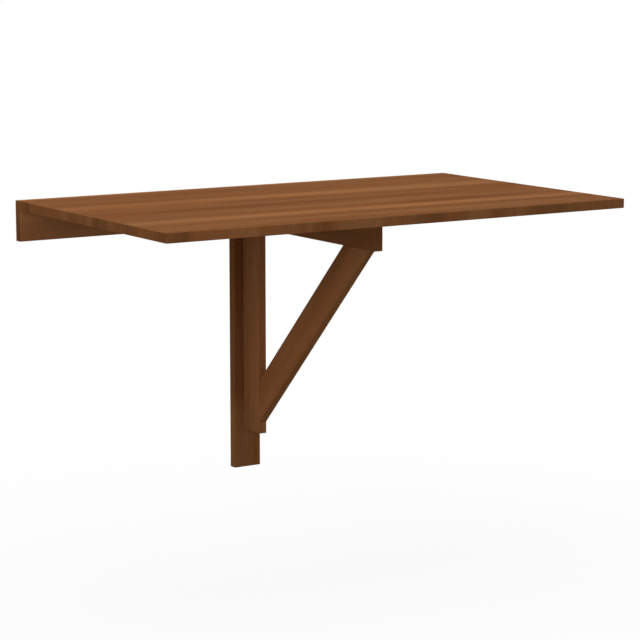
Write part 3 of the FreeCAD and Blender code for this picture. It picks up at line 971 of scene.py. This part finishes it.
class TABLE_OT_stage(bpy.types.Operator):
    """Set up the pale floor, the soft lamps and the camera"""

    bl_idname = "table.stage"
    bl_label = "Stage"

    def execute(self, context):
        stage = context.scene.table_stage
        context.scene.view_settings.view_transform = "Standard"
        self.floor(stage)
        self.world(stage)
        lamp("top_lamp", stage.top_lamp, TOP_LAMP_WIDTH, TOP_LAMP_PLACE)
        lamp("side_lamp", stage.side_lamp, SIDE_LAMP_WIDTH, SIDE_LAMP_PLACE)
        lamp("back_lamp", stage.back_lamp, BACK_LAMP_WIDTH, BACK_LAMP_PLACE)
        self.camera(context, stage)
        return {"FINISHED"}

    def floor(self, stage):
        """A round floor, which looks nearly white with the table's faint shadow.

        It fades into the backdrop towards its rim. It throws back little light, and it is clear
        from below, so the underside can be seen.
        """
        angle = np.linspace(0, 2 * np.pi, stage.floor_segments, endpoint=False)
        level = np.full_like(angle, stage.floor_level)
        along_wall = stage.floor_radius * np.cos(angle)
        into_wall = stage.floor_radius * np.sin(angle) - FLOOR_FORWARD
        rim = np.stack([along_wall, into_wall, level], axis=-1)
        mesh = bpy.data.meshes.new("floor")
        mesh.from_pydata(rim.tolist(), [], [list(range(len(rim)))])
        finish = Finish("pale_floor")
        finish.finish([stage.floor_grey] * 3, FLOOR_ROUGHNESS)
        rays = finish.add("ShaderNodeLightPath").outputs
        seen = finish.math("MAXIMUM", rays["Is Camera Ray"], rays["Is Glossy Ray"])
        white = finish.add("ShaderNodeEmission", color=stage.backdrop).outputs[0]
        shaded = finish.add("ShaderNodeBsdfDiffuse", color=stage.backdrop).outputs[0]
        size = 1 / stage.floor_radius
        place = finish.turned(finish.place, shift=(0, FLOOR_FORWARD * size, 0), scale=(size, size, 0))
        inward = finish.add(
            "ShaderNodeTexGradient", {"gradient_type": "SPHERICAL"}, vector=place
        ).outputs["Fac"]
        whiteness = finish.spread(inward, *FLOOR_FADE, 1.0, stage.floor_white)
        shown = finish.mixed(whiteness, shaded, white)
        bounce = finish.surface.outputs["BSDF"]
        upper = finish.mixed(seen, bounce, shown)
        clear = finish.add("ShaderNodeBsdfTransparent").outputs[0]
        under = finish.add("ShaderNodeNewGeometry").outputs["Backfacing"]
        output = finish.tree.nodes["Material Output"]
        finish.feed(output.inputs["Surface"], finish.mixed(under, upper, clear))
        mesh.materials.append(finish.material)
        floor = bpy.data.objects.new("floor", mesh)
        bpy.context.scene.collection.objects.link(floor)

    def world(self, stage):
        """White where the camera or a reflection sees it, and an even grey light elsewhere."""
        world = bpy.data.worlds.new("studio")
        world.use_nodes = True
        tree = world.node_tree
        tree.nodes.clear()
        rays = tree.nodes.new("ShaderNodeLightPath")
        light = tree.nodes.new("ShaderNodeBackground")
        light.inputs["Color"].default_value = [1, 1, 1, 1]
        light.inputs["Strength"].default_value = stage.ambient
        seen = tree.nodes.new("ShaderNodeBackground")
        seen.inputs["Color"].default_value = [*stage.backdrop, 1]
        either = tree.nodes.new("ShaderNodeMath")
        either.operation = "MAXIMUM"
        mix = tree.nodes.new("ShaderNodeMixShader")
        output = tree.nodes.new("ShaderNodeOutputWorld")
        for start, end in (
            (rays.outputs["Is Camera Ray"], either.inputs[0]),
            (rays.outputs["Is Glossy Ray"], either.inputs[1]),
            (either.outputs["Value"], mix.inputs[0]),
            (light.outputs["Background"], mix.inputs[1]),
            (seen.outputs["Background"], mix.inputs[2]),
            (mix.outputs["Shader"], output.inputs["Surface"]),
        ):
            tree.links.new(start, end)
        bpy.context.scene.world = world

    def camera(self, context, stage):
        """A long lens from the front left, a little above the table."""
        data = bpy.data.cameras.new("camera")
        data.lens = stage.camera_lens
        camera = bpy.data.objects.new("camera", data)
        camera.location = stage.camera_place
        camera.rotation_euler = Euler((QUARTER - stage.camera_drop, 0, stage.camera_heading))
        context.scene.collection.objects.link(camera)
        context.scene.camera = camera


# ---------------------------------------------------------------- panel and registration

PIECE_OPERATORS = (
    TABLE_OT_top,
    TABLE_OT_wall_boards,
    TABLE_OT_bracket,
    TABLE_OT_dowels,
    TABLE_OT_hinges,
    TABLE_OT_screws,
    TABLE_OT_felt_pad,
    TABLE_OT_stage,
)


class TABLE_PT_finish(bpy.types.Panel):
    """The table's operators and settings"""

    bl_label = "Drop leaf table"
    bl_space_type = "VIEW_3D"
    bl_region_type = "UI"
    bl_category = "Table"

    def draw(self, context):
        for operator in PIECE_OPERATORS:
            self.layout.operator(operator.bl_idname)
        for name, group in SETTINGS.items():
            box = self.layout.box()
            for setting in group.__annotations__:
                box.prop(getattr(context.scene, name), setting)


CLASSES = (*SETTINGS.values(), *PIECE_OPERATORS, TABLE_PT_finish)


def register():
    """Register the classes, and give each scene its settings."""
    for cls in CLASSES:
        bpy.utils.register_class(cls)
    for name, group in SETTINGS.items():
        setattr(bpy.types.Scene, name, PointerProperty(type=group))


def unregister():
    """Take the settings and the classes away again."""
    for name in SETTINGS:
        delattr(bpy.types.Scene, name)
    for cls in reversed(CLASSES):
        bpy.utils.unregister_class(cls)


def main():
    """Dress the table."""
    register()
    for operator in PIECE_OPERATORS:
        group, name = operator.bl_idname.split(".")
        getattr(getattr(bpy.ops, group), name)()


if __name__ == "__main__":
    main()
